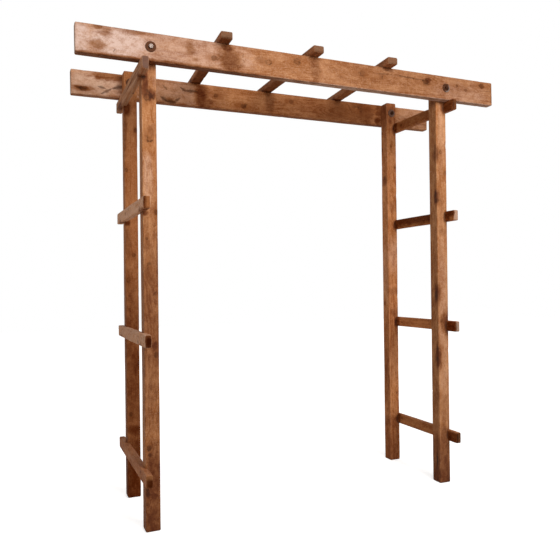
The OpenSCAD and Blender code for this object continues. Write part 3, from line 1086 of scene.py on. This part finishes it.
# What every rung of a side has, and what one rung has of its own
SIDE_RUNG_STAINS = {
    "left": (Patch((0, -26, 262), (40, 20, 26), 0.8, 1.0), Patch((0, -26, -262), (40, 20, 30), 0.9, 1.0)),
    "right": (Patch((-14, 0, 278), (12, 60, 30), 0.9, 0.9), Patch((-14, 0, -186), (12, 60, 22), 0.9, 0.9)),
}
OWN_RUNG_STAINS = {
    ("left", 1): (Patch((-14, -16, -250), (12, 20, 90), 0.85), Patch((-14, -4, 60), (12, 9, 190), 0.6)),
    ("left", 2): (Patch((0, -27, 312), (40, 12, 60), 0.95, 0.9),),
}
FIRST_RUNG_STAINS = {("right", 2): (Patch((-14, 9, 0), (9, 30, 900), 0.86, 1.0),)}
OWN_RUNG_LINES = {
    ("left", 1): (
        Line("-x", (2, 190), (-6, -60), 7.0, 0.6),
        Line("-x", (12, 20), (4, -240), 6.0, 0.5),
        Line("-x", (-18, 250), (-14, 60), 6.0, 0.5),
        Line("-x", (-20, -180), (-14, -330), 9.0, 0.7),
    ),
}
OWN_RUNG_TABLES = (FIRST_RUNG_STAINS, OWN_RUNG_STAINS, OWN_RUNG_LINES)
RUNG_SEEDS = {"left": 40, "right": 50}


def side_rung_wood(side, n):
    """One side rung. Along counts forwards from its middle."""
    seed = RUNG_SEEDS[side] + n
    rng = random.Random(seed)
    grey, saw, tone, end, end_stain = SIDE_RUNG_LOOKS[side][n - 1]
    first, own, lines = (table.get((side, n), ()) for table in OWN_RUNG_TABLES)
    return Wood(
        seed=seed,
        pith=(rng.uniform(-30, 30), rng.choice((-38, 38)), 0.0),
        lean=(0.01, 0.01, 0.0),
        knots=scattered(seed * 3, ("+x", "-x"), SIDE_HALF, 2, 4, 8)
        + scattered(seed * 5, ("+y", "-y"), SIDE_HALF, 1, 3, 7),
        lines=lines,
        stains=(*first, *SIDE_RUNG_STAINS[side], *own, *end_stain),
        grey=grey,
        saw=saw,
        tone=tone,
        end=end,
        checks=(
            Check("-x", rng.uniform(-12, 12), rng.uniform(120, 260), 370, 1.1, 4),
            Check("+x", rng.uniform(-12, 12), -370, rng.uniform(-260, -120), 1.1, 4),
        ),
    )


# Seed and strength of the damp underside of each top rung
TOP_RUNGS = {"left": (61, 0.7), "middle": (62, 0.45), "right": (63, 0.1)}


def top_rung_wood(place):
    """One top rung. Along counts forwards from its middle."""
    seed, damp = TOP_RUNGS[place]
    rng = random.Random(seed)
    return Wood(
        seed=seed,
        pith=(rng.uniform(-20, 20), 40.0, 0.0),
        lean=(0.01, -0.01, 0.0),
        knots=scattered(seed * 3, ("+x", "-x", "-y", "+y"), TOP_HALF, 1, 4, 9),
        stains=(Patch((0, -18, 0), (60, 14, 900), damp, 0.8), Patch((0, -16, -262), (60, 20, 30), 0.9, 0.8)),
        grey=0.3,
        tone=(0.8, 0.66, 0.55),
        end="785842",
        checks=(Check("-y", rng.uniform(-12, 12), rng.uniform(100, 240), 370, 1.1, 4),),
    )


class ARCH_OT_posts(bpy.types.Operator):
    """Build the four square posts, with their housings and bolt holes"""

    bl_idname = "arch.posts"
    bl_label = "Posts"

    def execute(self, context):
        for corner, wood in POST_WOODS.items():
            tools = [*housings(corner.split("_")[1]), bolt_drill(corner)]
            make_timber(context, "post_" + corner, POST_AXES, wood, tools=tools)
        return {"FINISHED"}


class ARCH_OT_beams(bpy.types.Operator):
    """Build the front and the back beam, with their bolt holes"""

    bl_idname = "arch.beams"
    bl_label = "Beams"

    def execute(self, context):
        for end, wood in BEAM_WOODS.items():
            tools = [bolt_drill(f"{end}_{side}") for side in ("left", "right")]
            make_timber(context, "beam_" + end, BEAM_AXES, wood, tools=tools)
        return {"FINISHED"}


class ARCH_OT_side_rungs(bpy.types.Operator):
    """Build the eight rungs across the sides"""

    bl_idname = "arch.side_rungs"
    bl_label = "Side rungs"

    def execute(self, context):
        for side in ("left", "right"):
            for n in (1, 2, 3, 4):
                node = f"side_rung_{side}_{n}"
                make_timber(context, node, RUNG_AXES, side_rung_wood(side, n))
        return {"FINISHED"}


class ARCH_OT_top_rungs(bpy.types.Operator):
    """Build the three rungs across the top"""

    bl_idname = "arch.top_rungs"
    bl_label = "Top rungs"

    def execute(self, context):
        for place in TOP_RUNGS:
            node = "top_rung_" + place
            make_timber(context, node, RUNG_AXES, top_rung_wood(place), turned=True)
        return {"FINISHED"}


# ---------------------------------------------------------------- bolts, nuts and washers

SIDES = 48
CORNERS = ("front_left", "front_right", "back_left", "back_right")
RIM_SHARE = 0.35  # of the chamfer's setting
CHAMFER_TOP = 0.0003
CHAMFER_SLOPE = 0.577
SOFT = 0.0004  # rounding of the head's underside
HEAD_HEIGHT = 0.0075
BOLT_WIDTH = 0.012
THREADED = 0.022
THREAD_DEPTH = 0.0009
NUT_WIDTH = 0.018
NUT_BORE = 0.00605
WASHER_BORE = 0.0065


def hexagon(flats):
    """How far a hexagon's edge is from its middle, at each of SIDES directions. Flats is half the distance
    across them."""
    return [flats / math.cos((TURN * i / SIDES) % (TURN / 6) - TURN / 12) for i in range(SIDES)]


def lathe(name, rings, closed=False):
    """A skin through rings of SIDES points round Z. A ring is (radii, heights), each one number or SIDES of
    them. Closed joins the last ring to the first, and otherwise both ends are filled."""
    points, faces = [], []
    for ring in rings:
        radii, heights = (v if isinstance(v, (list, tuple)) else [v] * SIDES for v in ring)
        for i, (r, z) in enumerate(zip(radii, heights)):
            a = TURN * i / SIDES
            points.append((r * math.cos(a), r * math.sin(a), z))
    count = len(rings)
    for j in range(count if closed else count - 1):
        k = (j + 1) % count
        for i in range(SIDES):
            m = (i + 1) % SIDES
            faces.append((j * SIDES + i, j * SIDES + m, k * SIDES + m, k * SIDES + i))
    for ring in () if closed else (0, count - 1):
        heights = [points[ring * SIDES + i][2] for i in range(SIDES)]
        points.append((0.0, 0.0, sum(heights) / SIDES))
        for i in range(SIDES):
            tri = (ring * SIDES + i, ring * SIDES + (i + 1) % SIDES, len(points) - 1)
            faces.append(tri if ring else tri[::-1])
    return solid(name, points, faces)


def chamfered(hexed, rim):
    """Heights of a hexagon's corners below a flat face that is a circle of radius rim."""
    return [CHAMFER_TOP + CHAMFER_SLOPE * max(0.0, r - rim) for r in hexed]


def lowered(values, by):
    return [v - by for v in values]


def bolt_mesh(name, size, seed, settings):
    """A bolt along Z, head down: a chamfered hexagon, a plain shank, and a cut thread at its end."""
    full, across = size.y, size.z
    hexed = hexagon(across / 2)
    rim = across / 2 - settings.chamfer * RIM_SHARE
    r = BOLT_WIDTH / 2
    rings = [
        (across * 0.18, 0.0007), (across * 0.30, 0.0005), (across * 0.36, 0.0001), (rim * 0.93, 0.0),
        (rim, 0.00015), (hexed, chamfered(hexed, rim)), (hexed, HEAD_HEIGHT - SOFT),
        (lowered(hexed, SOFT), HEAD_HEIGHT), (r + 0.0012, HEAD_HEIGHT),
        (r + 0.0003, HEAD_HEIGHT + 0.0003), (r, HEAD_HEIGHT + 0.0012), (r, full - THREADED),
    ]
    pitch = settings.thread_pitch
    steps = int(THREADED / (pitch / 6))
    for j in range(steps + 1):
        z = full - THREADED + (THREADED - 0.0012) * j / steps
        depths = (abs((z / pitch - i / SIDES) % 1.0 - 0.5) * 2 for i in range(SIDES))
        rings.append(([r - THREAD_DEPTH * depth * min(1.0, 3 * j / steps) for depth in depths], z))
    rings += [(r - 0.0012, full - 0.0006), (r - 0.002, full - 0.0001), (r * 0.45, full)]
    return lathe(name, rings)


def nut_mesh(name, size, seed, settings):
    """A nut along Z: a hexagon chamfered on both faces, with a countersunk hole."""
    height, bore = size.y, NUT_BORE
    hexed = hexagon(NUT_WIDTH / 2)
    rim = NUT_WIDTH / 2 - settings.chamfer * RIM_SHARE
    low = chamfered(hexed, rim)
    sink = [(bore, 0.0011), (bore + 0.0009, 0.0001), (bore + 0.0013, 0.0), (rim, 0.00005)]
    far = [(r, height - z) for r, z in sink[::-1]]
    rings = [*sink, (hexed, low), (hexed, [height - z for z in low]), *far, (bore, height / 2)]
    return lathe(name, rings, closed=True)


def washer_mesh(name, size, seed, settings):
    """A punched washer along Z: rounded at one edge, burred at the other, and a little dented."""
    height, outer, bore = size.y, size.x / 2, WASHER_BORE
    rng = random.Random(seed)
    turn = np.linspace(0, TURN, SIDES, endpoint=False)
    dent = 0.00012 * np.abs(waves(rng, 4, TURN)(turn))
    edge = (outer - 0.0001 - 0.00025 * np.abs(waves(rng, 7, TURN)(turn))).tolist()
    low, high = dent.tolist(), (height - dent).tolist()
    rings = [
        (bore, 0.0004), (bore + 0.0004, 0.0), (outer * 0.62, low), (outer * 0.86, low),
        (lowered(edge, 0.0012), lowered(low, -0.0001)), (lowered(edge, 0.0003), lowered(low, -0.0006)),
        (edge, 0.0014), (edge, height - 0.0012), (lowered(edge, 0.0004), lowered(high, 0.0004)),
        (lowered(edge, 0.0011), high), (outer * 0.62, high), (bore + 0.0004, height), (bore, height - 0.0004),
    ]
    return lathe(name, rings, closed=True)


@shader_group(color=COLOUR, metallic=NUMBER, roughness=NUMBER, height=NUMBER)
def tarnished_steel(
    n, position: VECTOR, seed: NUMBER, steel: COLOUR, tarnish: COLOUR, rust: COLOUR, bare: NUMBER,
    rusty: NUMBER, rubbed: VECTOR, radius: NUMBER,
):
    """Steel under dark tarnish, with brown rust in patches and bare spots where a spanner has been. Rubbed
    points to the side where the rim of a washer of this radius is worn bright."""
    at = n.moved(position, (13.0, 31.0, 17.0), seed)
    cloud = n.noise(at, 0.16, 4.0, 0.6)
    speck = n.noise(at, 0.9, 3.0, 0.7)
    scratch = n.noise(at, 1.0, 2.0, 0.5, stretch=(2.4, 0.25, 0.6))
    rusty = n.smooth(n.plus(cloud, rusty), 0.48, 0.66)
    bare = n.times(n.smooth(n.sum(scratch, (speck, 0.35)), 0.55, 0.85), bare, clamp=True)
    flat = n.vector("MULTIPLY", position, (1.0, 1.0, 0.0))
    rim = n.less(n.size(flat), radius)
    side = n.dot(n.vector("NORMALIZE", flat), rubbed)
    worn = n.times(n.smooth(rim, -9.0, -3.0), n.smooth(side, 0.0, 0.7))
    bare = n.most(bare, n.times(worn, n.smooth(speck, 0.2, 0.5, 0.3, 0.7)))
    brown = (n.smooth(speck, 0.3, 0.7, 0.0, 0.35), rust)
    made = n.coats(tarnish, brown, (rusty, rust), (bare, steel))
    high = n.plus(n.times(speck, 0.12), n.times(rusty, 0.1))
    return made, n.times(bare, 0.75), n.sum(0.5, (rusty, 0.2), (bare, -0.18)), high


def make_fitting(context, kind, corner, mesh_for, slot, bare, rusty=0.0, rubbed=0.0):
    """Puts one bolt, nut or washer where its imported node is, pointing from the bolt's head to its end.
    Rubbed is how bright its rim is worn on the right."""
    settings = context.scene.arch_bolts
    node = f"{kind}_{corner}"
    low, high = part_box(node)
    inwards = 1.0 if corner.startswith("front") else -1.0
    middle, size = (low + high) / 2, high - low
    seed = CORNERS.index(corner) * 7 + len(kind)
    spin = random.Random(seed).uniform(0, TURN / 6)
    obj = linked(node + "_steel", mesh_for(node, size, seed, settings))
    start = Vector((middle.x, low.y if inwards > 0 else high.y, middle.z))
    turn = Vector((0.0, inwards, 0.0)).to_track_quat("Z", "X").to_matrix().to_4x4()
    obj.matrix_world = Matrix.Translation(start) @ turn @ Matrix.Rotation(spin, 4, "Z")
    worn = obj.matrix_world.to_3x3().inverted() @ Vector((0.86 * rubbed, 0.0, -0.5 * rubbed))
    material, n, place = new_material(node + "_metal")
    colours = {key: getattr(settings, key) for key in ("steel", "tarnish", "rust")}
    given = {"bare": bare, "rusty": rusty, "rubbed": tuple(worn), "radius": size.x / 2 / MM}
    join_shader(material, n, **tarnished_steel(n, position=place, seed=seed, **colours, **given))
    finish_piece(obj, node, material, STEEL_SHARP)


class ARCH_OT_bolts(bpy.types.Operator):
    """Build the four hexagon bolts"""

    bl_idname = "arch.bolts"
    bl_label = "Bolts"

    def execute(self, context):
        for corner in CORNERS:
            bare = 1.3 if corner == "front_left" else 0.0
            make_fitting(context, "bolt", corner, bolt_mesh, "bolt_steel", bare)
        return {"FINISHED"}


class ARCH_OT_nuts(bpy.types.Operator):
    """Build the four hexagon nuts"""

    bl_idname = "arch.nuts"
    bl_label = "Nuts"

    def execute(self, context):
        for corner in CORNERS:
            make_fitting(context, "nut", corner, nut_mesh, "bolt_steel", 0.03)
        return {"FINISHED"}


class ARCH_OT_washers(bpy.types.Operator):
    """Build the eight large washers, one under each head and one under each nut"""

    bl_idname = "arch.washers"
    bl_label = "Washers"

    def execute(self, context):
        for corner in CORNERS:
            left = corner.endswith("left")
            looks = {
                "head_washer": (0.0, 0.3 if left else 0.1, 0.0 if left else 1.0),
                "nut_washer": (0.05 if left else 0.3, 0.3, 0.0 if left else 0.4),
            }
            for kind, look in looks.items():
                make_fitting(context, kind, corner, washer_mesh, "washer_steel", *look)
        return {"FINISHED"}


# ---------------------------------------------------------------- stage

SENSOR_WIDTH = 36.0
CLIP_END = 60.0
# Where each lamp is, what it faces, and how wide it is
LAMPS = {
    "key": ((0.5, -3.4, 2.8), (0.0, 0.0, 1.8), 2.0),
    "fill": ((-0.8, -3.0, 2.9), (-0.6, 0.0, 1.8), 0.9),
    "side": ((-3.4, -0.9, 1.9), (0.0, 0.0, 1.1), 1.6),
    "back": ((0.8, 3.8, 3.0), (0.0, 0.0, 1.0), 2.4),
}


def seen_rays(n):
    """1 for what the camera sees, straight on, reflected or through something, and 0 for bounced light."""
    path = n.add("ShaderNodeLightPath").outputs
    seen = n.most(path["Is Camera Ray"], path["Is Glossy Ray"])
    return n.most(seen, path["Is Transmission Ray"])


def floor_material(settings):
    """A pale floor that fades into the white surroundings and keeps the shadow."""
    material = bpy.data.materials.new("floor_paint")
    material.use_nodes = True
    n = Nodes(material.node_tree)
    seen = seen_rays(n)
    place = n.add("ShaderNodeTexCoord").outputs["Object"]
    speckle = n.times(n.noise(place, 60.0, 2.0), 0.04)
    far = n.times(seen, n.smooth(n.size(place), 1.4, 4.5, 0.62, 1.0))
    shown = n.mix(speckle, settings.floor, (0.8, 0.8, 0.8))
    given = {
        "Base Color": n.mix(seen, settings.bounce, shown),
        "Roughness": 0.9,
        "Specular IOR Level": 0.0,
        "Emission Color": n.mix(far, (0.0, 0.0, 0.0), (1.0, 1.0, 1.0)),
        "Emission Strength": 1.0,
    }
    for key, value in given.items():
        n.feed(material.node_tree.nodes["Principled BSDF"].inputs[key], value)
    return material


def area_lamp(name, place, target, size, power):
    """A soft square lamp that faces the target."""
    data = bpy.data.lights.new(name, "AREA")
    data.shape = "SQUARE"
    data.size = size
    data.energy = power
    lamp = linked(name, data)
    lamp.location = place
    lamp.rotation_mode = "QUATERNION"
    lamp.rotation_quaternion = (Vector(target) - Vector(place)).to_track_quat("-Z", "Y")


def camera_place(settings):
    """The camera's matrix, from where it is and how it's turned, tilted and rolled."""
    heading, tilt, roll = settings.heading, settings.tilt, settings.roll
    flat = math.cos(tilt)
    ahead = Vector((math.sin(heading) * flat, math.cos(heading) * flat, math.sin(tilt)))
    right = Vector((math.cos(heading), -math.sin(heading), 0.0))
    up = right.cross(ahead)
    across = right * math.cos(roll) + up * math.sin(roll)
    place = Matrix((across, up * math.cos(roll) - right * math.sin(roll), -ahead)).transposed().to_4x4()
    place.translation = Vector(settings.eye)
    return place


class ARCH_OT_stage(bpy.types.Operator):
    """Lay the floor, hang the lamps and set up the camera"""

    bl_idname = "arch.stage"
    bl_label = "Stage"

    def execute(self, context):
        scene = context.scene
        settings = scene.arch_stage
        half = settings.floor_size / 2
        corners = [(-half, -half, 0), (half, -half, 0), (half, half, 0), (-half, half, 0)]
        floor = linked("floor", solid("floor", corners, [(0, 1, 2, 3)]))
        floor.data.materials.append(floor_material(settings))
        floor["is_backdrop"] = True

        scene.world = bpy.data.worlds.new("studio")
        scene.world.use_nodes = True
        n = Nodes(scene.world.node_tree)
        background = n.tree.nodes["Background"]
        n.feed(background.inputs["Color"], (1.0, 1.0, 1.0))
        strength = n.sum(settings.ambient, (seen_rays(n), 1.0 - settings.ambient))
        n.feed(background.inputs["Strength"], strength)

        for name, (place, target, size) in LAMPS.items():
            area_lamp(name + "_lamp", place, target, size, getattr(settings, name + "_power"))

        data = bpy.data.cameras.new("camera")
        data.lens, data.sensor_width, data.clip_end = settings.lens, SENSOR_WIDTH, CLIP_END
        scene.camera = linked("camera", data)
        scene.camera.matrix_world = camera_place(settings)
        scene.view_settings.view_transform = "Standard"
        return {"FINISHED"}


# ---------------------------------------------------------------- add-on


STEPS = (
    ARCH_OT_stage,
    ARCH_OT_posts,
    ARCH_OT_beams,
    ARCH_OT_side_rungs,
    ARCH_OT_top_rungs,
    ARCH_OT_bolts,
    ARCH_OT_nuts,
    ARCH_OT_washers,
)
SETTINGS = {"arch_timber": TimberSettings, "arch_bolts": BoltSettings, "arch_stage": StageSettings}


class ARCH_PT_panel(bpy.types.Panel):
    """The arch's pieces and their settings"""

    bl_idname = "ARCH_PT_panel"
    bl_label = "Wooden garden arch"
    bl_space_type = "VIEW_3D"
    bl_region_type = "UI"
    bl_category = "Arch"

    def draw(self, context):
        column = self.layout.column()
        for step in STEPS:
            column.operator(step.bl_idname)
        for key, kind in SETTINGS.items():
            column.separator()
            for name in kind.__annotations__:
                column.prop(getattr(context.scene, key), name)


CLASSES = (*SETTINGS.values(), *STEPS, ARCH_PT_panel)


def register():
    for cls in CLASSES:
        bpy.utils.register_class(cls)
    for name, cls in SETTINGS.items():
        setattr(bpy.types.Scene, name, PointerProperty(type=cls))


def unregister():
    for name in SETTINGS:
        delattr(bpy.types.Scene, name)
    for cls in reversed(CLASSES):
        bpy.utils.unregister_class(cls)


def main():
    register()
    for step in STEPS:
        area, name = step.bl_idname.split(".")
        getattr(getattr(bpy.ops, area), name)()
    boxes = {"cad": CAD_BOX, "visual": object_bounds()}
    {key: [list(corner) for corner in box] for key, box in boxes.items()}


if __name__ == "__main__":
    main()
